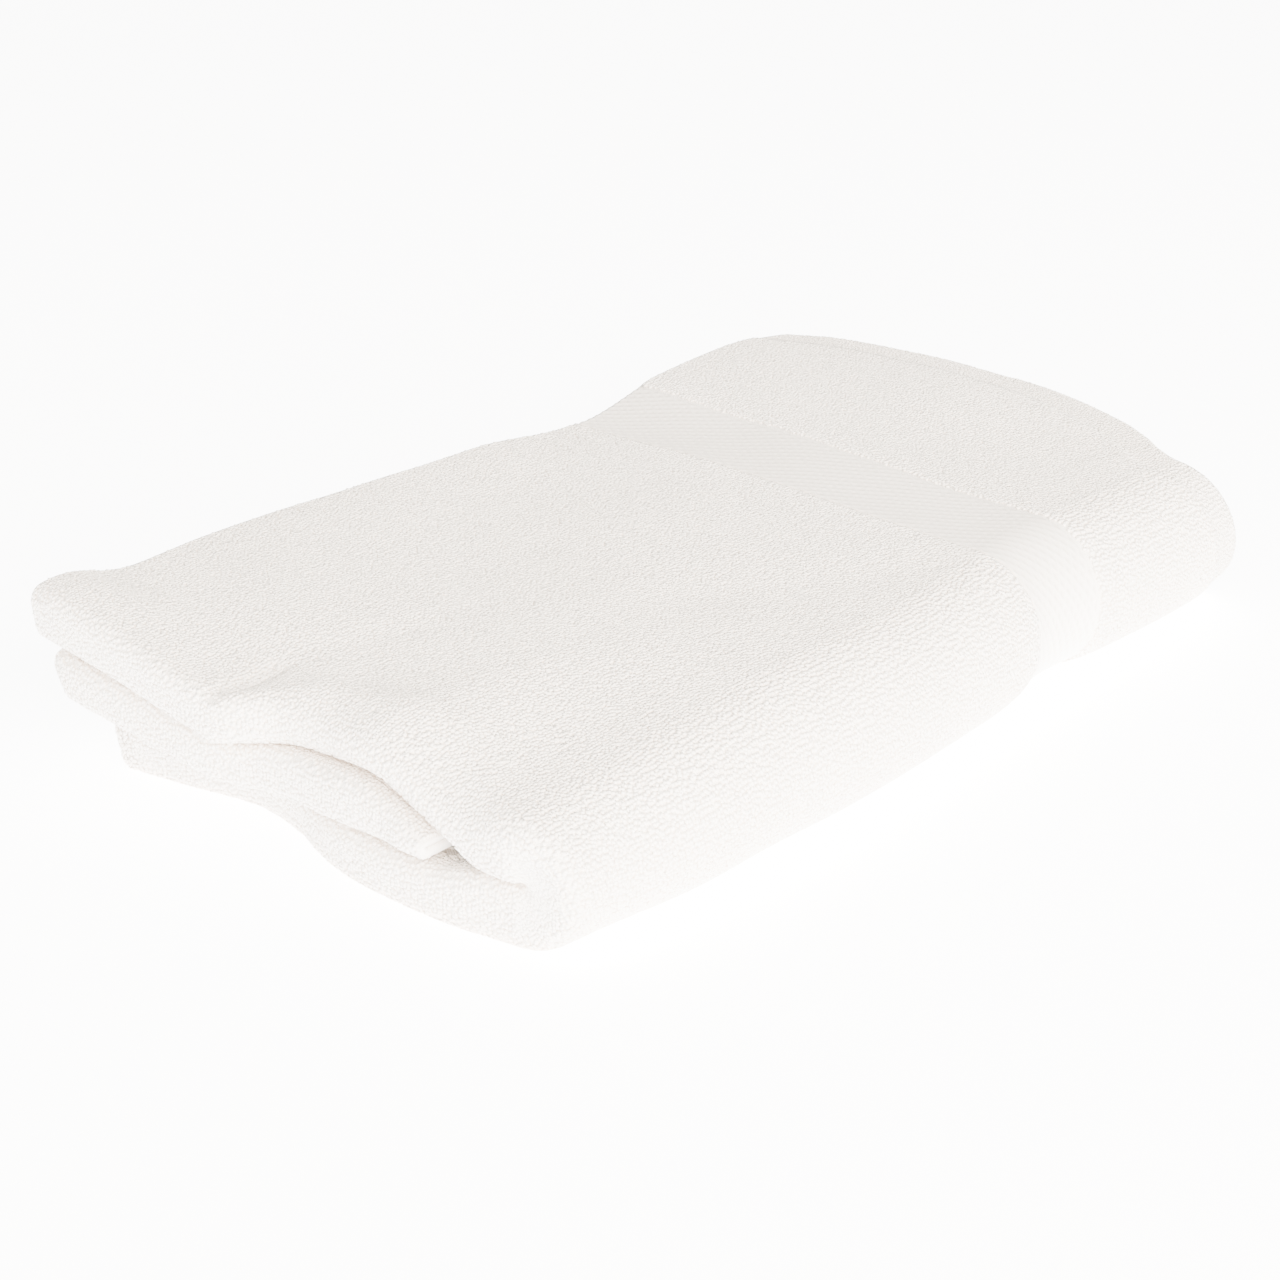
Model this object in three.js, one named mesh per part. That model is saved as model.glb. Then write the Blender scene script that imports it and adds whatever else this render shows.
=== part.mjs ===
import * as THREE from "three";

// Bath towel: one length of terry cloth, folded in three along its length
// and then in three across its width, so nine layers lie on each other.
// Millimetres, +Z up. X runs along the folded length, with the hem that shows at +X,
// and Y runs across it, with the smooth front fold at -Y and the selvedges at +Y.

// Cloth
const PILE_THICK = 6.2;
const BORDER_THICK = 4.8;
const HEM_THICK = 3.8;
const EDGE_THICK = 3.2;
const TURN_THICK = 4.8;
const HEM_WIDTH = 20;
const BORDER_NEAR = 103;
const BORDER_FAR = 54;
const STEP_WIDTH = 4;

// Fold along the length: three layers a pitch apart, joined by a deep turn at the rim
// and by a tight turn near the hem. Where the outer layer rolls down over a longer way than
// the plain one, the rim gets rounder and its tip droops.
const LAYER_PITCH = 7.6;
const RIM_CLOSING = 35;
const PLAIN_ROLL = 7;
const RIM_SQUARENESS = 0.62;
const ROLLED_SQUARENESS = 0.95;
const ROLLED_DROOP = 3;
const FULL_ROLL = 15;
const INNER_HEM_FROM_RIM = 50;
const INNER_TURN_X = 186;
const INNER_TURN_FOLLOWS_HEM = 0.4;
const RIM_TURN_STEPS = 8;
const INNER_TURN_STEPS = 6;

// Fold across the width: the tucked third lies between the under and the upper third.
const THIRD_PITCH = 22.3;
const UNDER_LEVEL = LAYER_PITCH + PILE_THICK / 2;
const TUCKED_LEVEL = UNDER_LEVEL + THIRD_PITCH;
const UPPER_LEVEL = TUCKED_LEVEL + THIRD_PITCH;
const PACKET_HALF = LAYER_PITCH + PILE_THICK / 2;
const STACK_HEIGHT = UPPER_LEVEL + PACKET_HALF;
const TURN_PRESS = 0.5;
const BACK_TURN_STEPS = 8;
const FRONT_TURN_STEPS = 12;
const SELVEDGE_STEP = 1.5;
const FLAT_WITHIN = 0.1;
const TUCKED_EDGE = -77;

// Distances across the cloth, from the tucked selvedge
const TUCKED_END = 166;
const UNDER_START = 201;
const UNDER_END = 401;
const UPPER_START = 471;
const UPPER_END = 716;

// Ends of the folded layers, a row for each place across the cloth: the rim's x, the hem's x,
// how full the layers are, how far the rim puffs inwards, how deep the rim's turn is
// on the side of its second layer, and over what length its first layer rolls down to it.
const ACROSS = [
  { at: 0, rim: -226, hem: 212, full: 0.52, puff: 0, second: 7, roll: 7 },
  { at: 10, rim: -226, hem: 212.8, full: 0.66, puff: 0, second: 7, roll: 7 },
  { at: 20, rim: -224.5, hem: 213.4, full: 0.8, puff: 0, second: 7, roll: 7 },
  { at: 30, rim: -224.5, hem: 214, full: 0.91, puff: 0, second: 7, roll: 7 },
  { at: 40, rim: -224.5, hem: 214.2, full: 0.98, puff: 0, second: 7, roll: 7 },
  { at: 75, rim: -224, hem: 215, full: 1, puff: 0, second: 7, roll: 7 },
  { at: 100, rim: -230, hem: 216, full: 1, puff: 0, second: 7, roll: 7 },
  { at: 120, rim: -232, hem: 217, full: 1, puff: 0, second: 12, roll: 7 },
  { at: 140, rim: -234, hem: 218, full: 1, puff: 0, second: 18, roll: 7 },
  { at: 166, rim: -235, hem: 218, full: 1, puff: 0, second: 22, roll: 7 },
  { at: 171, rim: -232.5, hem: 218.4, full: 1, puff: 0, second: 22, roll: 7 },
  { at: 175, rim: -226.5, hem: 219, full: 1, puff: 0, second: 20, roll: 7 },
  { at: 179, rim: -220.5, hem: 219.8, full: 1, puff: 0, second: 15, roll: 7 },
  { at: 184, rim: -213, hem: 221, full: 1, puff: 0, second: 9, roll: 7 },
  { at: 189, rim: -206, hem: 221.8, full: 1, puff: 0, second: 7, roll: 7 },
  { at: 194, rim: -205, hem: 222.4, full: 1, puff: 0, second: 7, roll: 7 },
  { at: 201, rim: -214, hem: 223, full: 1, puff: 0, second: 7, roll: 7 },
  { at: 205, rim: -220, hem: 223, full: 1, puff: 0, second: 7, roll: 7 },
  { at: 211, rim: -223.5, hem: 223, full: 1, puff: 0, second: 7, roll: 7 },
  { at: 225, rim: -220.5, hem: 223.6, full: 1, puff: 0, second: 7, roll: 7 },
  { at: 239, rim: -217.5, hem: 224.4, full: 1, puff: 0, second: 7, roll: 7 },
  { at: 255, rim: -212.5, hem: 225, full: 1, puff: 0, second: 7, roll: 7 },
  { at: 272, rim: -208.5, hem: 226, full: 1, puff: 0, second: 7, roll: 7 },
  { at: 286, rim: -210, hem: 227.3, full: 1, puff: 0, second: 7, roll: 7 },
  { at: 300, rim: -213, hem: 228, full: 1, puff: 0, second: 7, roll: 7 },
  { at: 308, rim: -216.5, hem: 228, full: 1, puff: 0, second: 7, roll: 7 },
  { at: 329, rim: -222, hem: 228, full: 1, puff: 0, second: 7, roll: 7 },
  { at: 352, rim: -222.5, hem: 227.6, full: 1, puff: 0, second: 7, roll: 7 },
  { at: 376, rim: -220.5, hem: 225.7, full: 1, puff: 0, second: 7, roll: 7 },
  { at: 381, rim: -219.5, hem: 225, full: 1, puff: 2.5, second: 7, roll: 7 },
  { at: 387, rim: -218, hem: 223.5, full: 1, puff: 4.4, second: 7, roll: 7 },
  { at: 401, rim: -214.5, hem: 219, full: 1, puff: 4.6, second: 7, roll: 7 },
  { at: 418, rim: -212, hem: 215.5, full: 1, puff: 4.6, second: 7, roll: 7 },
  { at: 436, rim: -211.5, hem: 210, full: 1, puff: 4.6, second: 7, roll: 7 },
  { at: 455, rim: -214, hem: 205.5, full: 1, puff: 4.6, second: 7, roll: 7 },
  { at: 471, rim: -218, hem: 203.5, full: 1, puff: 4.6, second: 7, roll: 11 },
  { at: 485, rim: -219, hem: 208, full: 1, puff: 4.4, second: 7, roll: 17 },
  { at: 491, rim: -219, hem: 212.5, full: 1, puff: 2.5, second: 7, roll: 19 },
  { at: 498, rim: -219, hem: 216, full: 1, puff: 0.5, second: 7, roll: 21 },
  { at: 510, rim: -219, hem: 221.5, full: 1, puff: 0, second: 7, roll: 24 },
  { at: 540, rim: -219.5, hem: 229, full: 1, puff: 0, second: 7, roll: 23 },
  { at: 563, rim: -219, hem: 232, full: 1, puff: 0, second: 7, roll: 20 },
  { at: 583, rim: -222, hem: 233, full: 1, puff: 0, second: 7, roll: 14 },
  { at: 594, rim: -228, hem: 232, full: 1, puff: 0, second: 7, roll: 9 },
  { at: 604, rim: -233, hem: 232, full: 1, puff: 0, second: 7, roll: 7 },
  { at: 628, rim: -236, hem: 231, full: 1, puff: 0, second: 7, roll: 8 },
  { at: 648, rim: -237, hem: 227.5, full: 1, puff: 0, second: 7, roll: 11 },
  { at: 668, rim: -238, hem: 223.5, full: 1, puff: 0, second: 7, roll: 16 },
  { at: 684, rim: -238.5, hem: 219, full: 1, puff: 0, second: 5, roll: 22 },
  { at: 700, rim: -237.5, hem: 213, full: 1, puff: 0, second: 4, roll: 28 },
  { at: 716, rim: -234, hem: 204, full: 1, puff: 0, second: 2.5, roll: 32 },
];

// Plan of the long folds and edges, a row for each place along X: the y of the front fold's
// middle, of the upper third's back edge and of the back fold's middle, how far that fold leans
// back for each millimetre up, how far the front sinks, and the y where it starts to
const ALONG = [
  { at: -235, front: -110, back: 139, fold: 113.5, lean: 0.35, sink: 13, brink: -40 },
  { at: -215, front: -111.5, back: 139, fold: 112.5, lean: 0.35, sink: 13, brink: -40 },
  { at: -190, front: -112.5, back: 134, fold: 109.5, lean: 0.33, sink: 11, brink: -40 },
  { at: -150, front: -115.5, back: 136, fold: 103, lean: 0.2, sink: 5, brink: -45 },
  { at: -110, front: -113.5, back: 135, fold: 100, lean: 0.1, sink: 1, brink: -60 },
  { at: -60, front: -113.5, back: 133, fold: 98.5, lean: 0, sink: 0, brink: -75 },
  { at: 0, front: -109, back: 131, fold: 98, lean: 0, sink: 0, brink: -80 },
  { at: 43, front: -104, back: 128, fold: 98, lean: 0, sink: 0, brink: -80 },
  { at: 66, front: -97, back: 128, fold: 98, lean: 0, sink: 0, brink: -80 },
  { at: 97, front: -95, back: 132, fold: 98, lean: 0, sink: 0, brink: -80 },
  { at: 112, front: -98, back: 134, fold: 98, lean: 0, sink: 0, brink: -80 },
  { at: 180, front: -98, back: 135, fold: 98, lean: 0, sink: 0.5, brink: -80 },
  { at: 225, front: -91, back: 128, fold: 98, lean: 0, sink: 2, brink: -80 },
];
const SINK_END = -98;
const LEAN_START = 60;
const LEAN_FULL = 110;

// Places where all layers swell or are pressed together, with their reach each way
const SWELLS = [
  { name: "full pile beside the hem", x: 172, y: 70, reachX: 66, reachY: 92, height: 7 },
  { name: "far corner", x: 150, y: 128, reachX: 55, reachY: 45, height: 3.5 },
  { name: "back edge", x: -120, y: 120, reachX: 70, reachY: 36, height: 2 },
  { name: "dip before the border", x: 52, y: 130, reachX: 34, reachY: 40, height: -2 },
  { name: "pinch behind the rim", x: -222, y: 24, reachX: 20, reachY: 20, height: -3.4 },
  { name: "crease from the pinch", x: -192, y: -8, reachX: 26, reachY: 30, height: -2.5 },
  { name: "puffed rim", x: -228, y: 70, reachX: 20, reachY: 36, height: 2 },
  { name: "raised rim", x: -222, y: -42, reachX: 22, reachY: 18, height: 3 },
];

// Stations along the cloth from the outer hem to the inner hem: the layer they lie in,
// what their x is measured from, and the cloth's thickness there
const STATIONS = [
  { layer: 1, from: "hem", x: 0, thick: EDGE_THICK },
  { layer: 1, from: "hem", x: -3, thick: HEM_THICK },
  { layer: 1, from: "hem", x: -HEM_WIDTH, thick: HEM_THICK },
  { layer: 1, from: "hem", x: -HEM_WIDTH - STEP_WIDTH, thick: PILE_THICK },
  { layer: 1, from: "middle", x: 145, thick: PILE_THICK },
  { layer: 1, from: "middle", x: BORDER_NEAR + STEP_WIDTH / 2, thick: PILE_THICK },
  { layer: 1, from: "middle", x: BORDER_NEAR - STEP_WIDTH / 2, thick: BORDER_THICK },
  { layer: 1, from: "middle", x: (BORDER_NEAR + BORDER_FAR) / 2, thick: BORDER_THICK },
  { layer: 1, from: "middle", x: BORDER_FAR + STEP_WIDTH / 2, thick: BORDER_THICK },
  { layer: 1, from: "middle", x: BORDER_FAR - STEP_WIDTH / 2, thick: PILE_THICK },
  { layer: 1, from: "middle", x: 15, thick: PILE_THICK },
  { layer: 1, from: "middle", x: -25, thick: PILE_THICK },
  { layer: 1, from: "middle", x: -65, thick: PILE_THICK },
  { layer: 1, from: "middle", x: -105, thick: PILE_THICK },
  { layer: 1, from: "middle", x: -140, thick: PILE_THICK },
  { layer: 1, from: "middle", x: -165, thick: PILE_THICK },
  { layer: 1, from: "roll", x: 16, thick: PILE_THICK },
  { layer: 1, from: "roll", x: 0, thick: PILE_THICK, turn: RIM_TURN_STEPS },
  { layer: 2, from: "second", x: 0, thick: PILE_THICK },
  { layer: 2, from: "second", x: RIM_CLOSING / 3, thick: PILE_THICK },
  { layer: 2, from: "second", x: (RIM_CLOSING * 2) / 3, thick: PILE_THICK },
  { layer: 2, from: "second", x: RIM_CLOSING, thick: PILE_THICK },
  { layer: 2, from: "middle", x: -140, thick: PILE_THICK },
  { layer: 2, from: "middle", x: -95, thick: PILE_THICK },
  { layer: 2, from: "middle", x: -40, thick: PILE_THICK },
  { layer: 2, from: "middle", x: 15, thick: PILE_THICK },
  { layer: 2, from: "middle", x: 50, thick: PILE_THICK },
  { layer: 2, from: "middle", x: 72, thick: PILE_THICK },
  { layer: 2, from: "middle", x: 95, thick: PILE_THICK },
  { layer: 2, from: "middle", x: 135, thick: PILE_THICK },
  { layer: 2, from: "inner", x: 0, thick: TURN_THICK, turn: INNER_TURN_STEPS },
  { layer: 3, from: "inner", x: 0, thick: TURN_THICK },
  { layer: 3, from: "middle", x: 135, thick: PILE_THICK },
  { layer: 3, from: "middle", x: 95, thick: PILE_THICK },
  { layer: 3, from: "middle", x: 72, thick: PILE_THICK },
  { layer: 3, from: "middle", x: 50, thick: PILE_THICK },
  { layer: 3, from: "middle", x: 15, thick: PILE_THICK },
  { layer: 3, from: "middle", x: -40, thick: PILE_THICK },
  { layer: 3, from: "middle", x: -95, thick: PILE_THICK },
  { layer: 3, from: "middle", x: -122, thick: PILE_THICK },
  { layer: 3, from: "rim", x: INNER_HEM_FROM_RIM + HEM_WIDTH + STEP_WIDTH, thick: PILE_THICK },
  { layer: 3, from: "rim", x: INNER_HEM_FROM_RIM + HEM_WIDTH, thick: HEM_THICK },
  { layer: 3, from: "rim", x: INNER_HEM_FROM_RIM, thick: EDGE_THICK },
];

// Places across the cloth where the section is repeated; the two turns add their own steps
const TUCKED_PLACES = [0, 10, 20, 32, 60, 95, 130];
const UNDER_PLACES = [UNDER_START, 206, 218, 236, 254, 272, 292, 313, 340, 368, 385];
const UPPER_PLACES = [
  UPPER_START, 484, 492, 503, 518, 535, 552, 568, 583, 599, 614, 630, 648, 668, 692, UPPER_END,
];

function smoothstep(value, start, end) {
  const t = THREE.MathUtils.clamp((value - start) / (end - start), 0, 1);
  return t * t * (3 - 2 * t);
}

// A smooth curve through one column of a table, kept level past its ends
function tableCurve(table, column) {
  const slopeAt = (i) => {
    const before = table[Math.max(i - 1, 0)];
    const after = table[Math.min(i + 1, table.length - 1)];
    return (after[column] - before[column]) / (after.at - before.at);
  };
  return (at) => {
    const last = table.length - 1;
    if (at <= table[0].at) return table[0][column];
    if (at >= table[last].at) return table[last][column];
    const i = table.findIndex((row) => row.at > at) - 1;
    const span = table[i + 1].at - table[i].at;
    const t = (at - table[i].at) / span;
    const start = table[i][column];
    const end = table[i + 1][column];
    const bend = t * (1 - t);
    return (
      start + (end - start) * t * t * (3 - 2 * t) +
      span * bend * ((1 - t) * slopeAt(i) - t * slopeAt(i + 1))
    );
  };
}

const rimAt = tableCurve(ACROSS, "rim");
const hemAt = tableCurve(ACROSS, "hem");
const fullAt = tableCurve(ACROSS, "full");
const puffAt = tableCurve(ACROSS, "puff");
const secondAt = tableCurve(ACROSS, "second");
const rollAt = tableCurve(ACROSS, "roll");
const frontAt = tableCurve(ALONG, "front");
const backAt = tableCurve(ALONG, "back");
const foldAt = tableCurve(ALONG, "fold");
const leanAt = tableCurve(ALONG, "lean");
const sinkAt = tableCurve(ALONG, "sink");
const brinkAt = tableCurve(ALONG, "brink");

// A bell, one at its middle and nothing past twice its reach
function bell(spot, x, y) {
  const r = Math.hypot((x - spot.x) / spot.reachX, (y - spot.y) / spot.reachY);
  return 1 - smoothstep(r, 0, 2);
}

function bumpAt(spots, x, y) {
  return spots.reduce((sum, spot) => sum + spot.height * bell(spot, x, y), 0);
}

function upperLevel(x, y) {
  const sink = sinkAt(x) * smoothstep(-y, -brinkAt(x), -SINK_END);
  return UPPER_LEVEL - sink;
}

// Swelling stretches the stack upwards from its lowest layer, which stays flat on the surface
function swollen(x, y, z) {
  const lowest = PILE_THICK / 2;
  return lowest + (z - lowest) * (1 + bumpAt(SWELLS, x, y) / STACK_HEIGHT);
}

// The back fold leans back with height, and less and less towards the front
function leaning(x, y, z) {
  const pivot = UNDER_LEVEL + THIRD_PITCH / 2;
  return y + leanAt(x) * smoothstep(y, LEAN_START, LEAN_FULL) * (z - pivot);
}

// How far round its turn a place lies, from 0 to pi, and 0 or pi off the turns
function turnAngle(at) {
  if (at < UNDER_END) {
    return Math.PI * THREE.MathUtils.clamp(THREE.MathUtils.inverseLerp(TUCKED_END, UNDER_START, at), 0, 1);
  }
  return Math.PI * THREE.MathUtils.clamp(THREE.MathUtils.inverseLerp(UNDER_END, UPPER_START, at), 0, 1);
}

// The point of the cloth's middle at a place across the cloth, x along it,
// and an offset from the middle of its third, towards the outside of the fold
function foldAcross(at, x, offset) {
  const full = offset * fullAt(at);
  const turn = turnAngle(at);
  let y = 0;
  let z = 0;
  if (at <= TUCKED_END) {
    y = THREE.MathUtils.mapLinear(at, 0, TUCKED_END, TUCKED_EDGE, foldAt(x));
    z = TUCKED_LEVEL - (1 - fullAt(at)) * PACKET_HALF + full;
  } else if (at < UNDER_START) {
    const radius = THIRD_PITCH / 2 + full;
    y = foldAt(x) + radius * Math.sin(turn);
    z = UNDER_LEVEL + THIRD_PITCH / 2 + radius * Math.cos(turn);
  } else if (at <= UNDER_END) {
    y = THREE.MathUtils.mapLinear(at, UNDER_START, UNDER_END, foldAt(x), frontAt(x));
    z = UNDER_LEVEL - full;
  } else if (at < UPPER_START) {
    const height = upperLevel(x, frontAt(x)) - UNDER_LEVEL;
    const radius = height / 2 + full;
    y = frontAt(x) - radius * Math.sin(turn);
    z = UNDER_LEVEL + height / 2 - radius * Math.cos(turn);
  } else {
    const edge = backAt(x) - SELVEDGE_STEP * (1 - offset / LAYER_PITCH);
    y = THREE.MathUtils.mapLinear(at, UPPER_START, UPPER_END, frontAt(x), edge);
    z = upperLevel(x, y) + full;
  }
  if (at < UNDER_END) y = leaning(x, y, z);
  return new THREE.Vector3(x, y, swollen(x, y, z));
}

// Half the cloth's thickness: less at the thin tucked edge and where it is pressed inside a turn
function halfThickness(at, point) {
  const inside = THREE.MathUtils.clamp(-point.offset / LAYER_PITCH, 0, 1);
  const pressed = TURN_PRESS * Math.sin(turnAngle(at)) * inside;
  return (point.thick / 2) * fullAt(at) * (1 - pressed);
}

// The layer's offset from the middle of its third, with layer 2 closing to the rim
function layerOffset(layer, x, at) {
  if (layer === 1) return LAYER_PITCH;
  if (layer === 3) return -LAYER_PITCH;
  const start = rimAt(at) + secondAt(at);
  const open = smoothstep(x, start, start + RIM_CLOSING);
  return -(LAYER_PITCH + puffAt(at)) * (1 - open);
}

// A sine or cosine of a turn, which a power below one makes squarer than a half circle
function rounded(value, power) {
  return Math.sign(value) * Math.abs(value) ** power;
}

// The points between two layers, round a tip. The two halves of the turn, one on the side
// of each layer, have their own depth and squareness.
function turnPoints(steps, start, end, tip, halves) {
  const points = [];
  for (let i = 1; i < steps; i += 1) {
    const angle = (Math.PI * i) / steps;
    const isFirst = i * 2 < steps;
    const half = isFirst ? halves.first : halves.second;
    const reach = isFirst ? start.offset - tip.offset : tip.offset - end.offset;
    points.push({
      x: tip.x + half.depth * (1 - rounded(Math.sin(angle), half.squareness)),
      offset: tip.offset + reach * rounded(Math.cos(angle), half.squareness),
      thick: start.thick,
    });
  }
  return points;
}

// The stations of the section at one place across the cloth, with the turns filled in
function sectionAt(at) {
  const rim = rimAt(at);
  const roll = rollAt(at);
  const second = secondAt(at);
  const hem = hemAt(at);
  const inner = INNER_TURN_X + INNER_TURN_FOLLOWS_HEM * (hem - INNER_TURN_X);
  const origin = { hem, inner, rim, roll: rim + roll, second: rim + second, middle: 0 };
  const points = [];
  for (const station of STATIONS) {
    const x = origin[station.from] + station.x;
    const start = { x, offset: layerOffset(station.layer, x, at), thick: station.thick };
    points.push(start);
    if (!station.turn) continue;
    const end = { offset: layerOffset(station.layer + 1, x, at) };
    if (station.from === "roll") {
      end.offset = layerOffset(2, rim, at);
      const rolled = THREE.MathUtils.clamp((roll - PLAIN_ROLL) / FULL_ROLL, 0, 1);
      const squareness = THREE.MathUtils.lerp(RIM_SQUARENESS, ROLLED_SQUARENESS, rolled);
      const middle = (start.offset + end.offset) / 2;
      const tip = { x: rim, offset: middle - ROLLED_DROOP * rolled };
      points.push(...turnPoints(station.turn, start, end, tip, {
        first: { depth: roll, squareness },
        second: { depth: second, squareness: (squareness + RIM_SQUARENESS) / 2 },
      }));
    } else {
      const depth = (start.offset - end.offset) / 2;
      const tip = { x: x + depth, offset: (start.offset + end.offset) / 2 };
      const round = { depth: -depth, squareness: 1 };
      points.push(...turnPoints(station.turn, start, end, tip, { first: round, second: round }));
    }
  }
  return points;
}

// All places across the cloth, with the steps of the two turns
function placesAcross() {
  const turn = (start, end, steps) =>
    Array.from({ length: steps }, (_, i) => start + ((end - start) * i) / steps);
  return [
    ...TUCKED_PLACES,
    ...turn(TUCKED_END, UNDER_START, BACK_TURN_STEPS),
    ...UNDER_PLACES,
    ...turn(UNDER_END, UPPER_START, FRONT_TURN_STEPS),
    ...UPPER_PLACES,
  ];
}

// The cloth as one closed body: its middle sheet, thickened along its own normals
function foldedCloth() {
  const places = placesAcross();
  const middle = places.map((at) =>
    sectionAt(at).map((p) => ({
      point: foldAcross(at, p.x, p.offset),
      half: halfThickness(at, p),
    })),
  );
  const rows = middle.length;
  const columns = middle[0].length;
  const at = (i, j) =>
    middle[THREE.MathUtils.clamp(i, 0, rows - 1)][THREE.MathUtils.clamp(j, 0, columns - 1)];
  const outer = [];
  const inner = [];
  for (let i = 0; i < rows; i += 1) {
    for (let j = 0; j < columns; j += 1) {
      const across = at(i + 1, j).point.clone().sub(at(i - 1, j).point);
      const along = at(i, j + 1).point.clone().sub(at(i, j - 1).point);
      const normal = across.cross(along).normalize();
      outer.push(at(i, j).point.clone().addScaledVector(normal, at(i, j).half));
      inner.push(at(i, j).point.clone().addScaledVector(normal, -at(i, j).half));
    }
  }
  for (const point of [...outer, ...inner]) {
    if (point.z < FLAT_WITHIN) point.z = 0;
  }
  const outside = (i, j) => i * columns + j;
  const inside = (i, j) => rows * columns + i * columns + j;
  const index = [];
  const quad = (a, b, c, d) => index.push(a, b, c, a, c, d);
  for (let i = 0; i < rows - 1; i += 1) {
    for (let j = 0; j < columns - 1; j += 1) {
      quad(outside(i, j), outside(i + 1, j), outside(i + 1, j + 1), outside(i, j + 1));
      quad(inside(i, j), inside(i, j + 1), inside(i + 1, j + 1), inside(i + 1, j));
    }
    const last = columns - 1;
    quad(outside(i, 0), inside(i, 0), inside(i + 1, 0), outside(i + 1, 0));
    quad(outside(i, last), outside(i + 1, last), inside(i + 1, last), inside(i, last));
  }
  for (let j = 0; j < columns - 1; j += 1) {
    const last = rows - 1;
    quad(outside(0, j), outside(0, j + 1), inside(0, j + 1), inside(0, j));
    quad(outside(last, j), inside(last, j), inside(last, j + 1), outside(last, j + 1));
  }
  const geometry = new THREE.BufferGeometry().setFromPoints([...outer, ...inner]);
  geometry.setIndex(index);
  geometry.computeVertexNormals();
  return geometry;
}

// The origin is under the middle of the towel, on the surface it lies on
function centred(geometry) {
  geometry.computeBoundingBox();
  const box = geometry.boundingBox;
  const middle = box.getCenter(new THREE.Vector3());
  geometry.translate(-middle.x, -middle.y, -box.min.z);
  return geometry;
}

const cotton = new THREE.MeshStandardMaterial({ color: 0xf3f2ef, roughness: 0.95, metalness: 0 });
const towel = new THREE.Mesh(centred(foldedCloth()), cotton);
towel.name = "bath_towel";

const group = new THREE.Group();
group.add(towel);

export default group;
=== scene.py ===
# %% [markdown]
# # A folded white bath towel
# One length of terry cloth lies folded in three along its length and then in three across its
# width. It is made here as a towel is: a woven ground cloth first, then the loops that stand
# on it, then the flat border band, and last the sewing of the hem.

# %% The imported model, as a fixed frame
import math
import bpy
import numpy as np
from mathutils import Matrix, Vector
from mathutils.bvhtree import BVHTree


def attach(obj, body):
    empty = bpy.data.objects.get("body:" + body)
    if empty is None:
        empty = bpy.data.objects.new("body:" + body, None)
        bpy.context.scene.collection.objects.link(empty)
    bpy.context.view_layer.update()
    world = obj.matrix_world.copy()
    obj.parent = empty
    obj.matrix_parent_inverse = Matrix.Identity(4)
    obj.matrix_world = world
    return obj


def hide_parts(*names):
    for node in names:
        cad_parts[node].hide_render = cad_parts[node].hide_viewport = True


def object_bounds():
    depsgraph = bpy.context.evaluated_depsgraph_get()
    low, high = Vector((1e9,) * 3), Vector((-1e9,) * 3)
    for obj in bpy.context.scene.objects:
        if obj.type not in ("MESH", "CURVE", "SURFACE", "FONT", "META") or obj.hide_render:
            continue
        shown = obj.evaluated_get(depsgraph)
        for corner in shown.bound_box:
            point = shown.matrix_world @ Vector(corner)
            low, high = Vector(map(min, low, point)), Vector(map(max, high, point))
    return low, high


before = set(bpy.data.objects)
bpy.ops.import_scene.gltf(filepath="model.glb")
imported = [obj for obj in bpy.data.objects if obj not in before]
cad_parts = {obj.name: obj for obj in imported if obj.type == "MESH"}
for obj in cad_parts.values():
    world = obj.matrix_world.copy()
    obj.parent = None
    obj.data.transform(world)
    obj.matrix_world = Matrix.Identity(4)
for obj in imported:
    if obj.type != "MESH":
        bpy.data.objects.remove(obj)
cad_low, cad_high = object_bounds()
print("solid reaches from", tuple(cad_low), "to", tuple(cad_high))

# %% [markdown]
# The camera stands to the front left of the towel and looks down on it at 24 degrees. Its
# place and its field of view were worked out from the towel's straight folds, so that sizes
# seen in the picture can be read as real ones.

# %% Camera
CAMERA_PLACE = Vector((-0.7901, -0.7171, 0.4925))
CAMERA_LOOKS = Vector((0.6599, 0.6305, -0.4087))
CAMERA_FIELD_DEG = 25.75

camera = bpy.data.objects.new("camera", bpy.data.cameras.new("camera"))
camera.data.angle = math.radians(CAMERA_FIELD_DEG)
camera.location = CAMERA_PLACE
camera.rotation_euler = CAMERA_LOOKS.to_track_quat("-Z", "Y").to_euler()
bpy.context.scene.collection.objects.link(camera)
bpy.context.scene.camera = camera
print("camera distance from the towel", round(CAMERA_PLACE.length, 3), "m")

# %% [markdown]
# The folds come from a few sizes and two short tables, in millimetres. One table goes across
# the cloth, from the tucked selvedge round both folds to the selvedge on top, and gives the
# ends of the folded layers there. The other goes along the towel and gives the plan of its
# long edges. Smooth curves through the rows keep the cloth as uneven as the real one.

# %% Sizes of the cloth and its folds
MM = 0.001
PILE_HALF = 3.1
LAYER_PITCH = 7.6
THIRD_PITCH = 22.3
RIM_CLOSING = 35
RIM_SQUARENESS = 0.38
PLAIN_ROLL = 7
ROLLED_SQUARENESS = 1.2
SECOND_SQUARENESS = 0.62
DEEP_SECOND = 15
ROLLED_DROOP = 3
FULL_ROLL = 15
INNER_HEM_FROM_RIM = 50
INNER_TURN_X = 186
INNER_TURN_FOLLOWS_HEM = 0.4
HEM_WIDTH = 20
BORDER = (54, 103)

PACKET_HALF = LAYER_PITCH + PILE_HALF
UNDER_LEVEL = PACKET_HALF
TUCKED_LEVEL = UNDER_LEVEL + THIRD_PITCH
UPPER_LEVEL = TUCKED_LEVEL + THIRD_PITCH
STACK_HEIGHT = UPPER_LEVEL + PACKET_HALF
TUCKED_EDGE = -77
TUCKED_DROOP = 0.3
THINNEST = 0.75
TUCKED_END = 166
UNDER_START = 201
UNDER_END = 401
UPPER_START = 471
UPPER_END = 716
SELVEDGE_STEP = 1.5
SINK_END = -98
LEAN_START = 60
LEAN_FULL = 110

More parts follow.
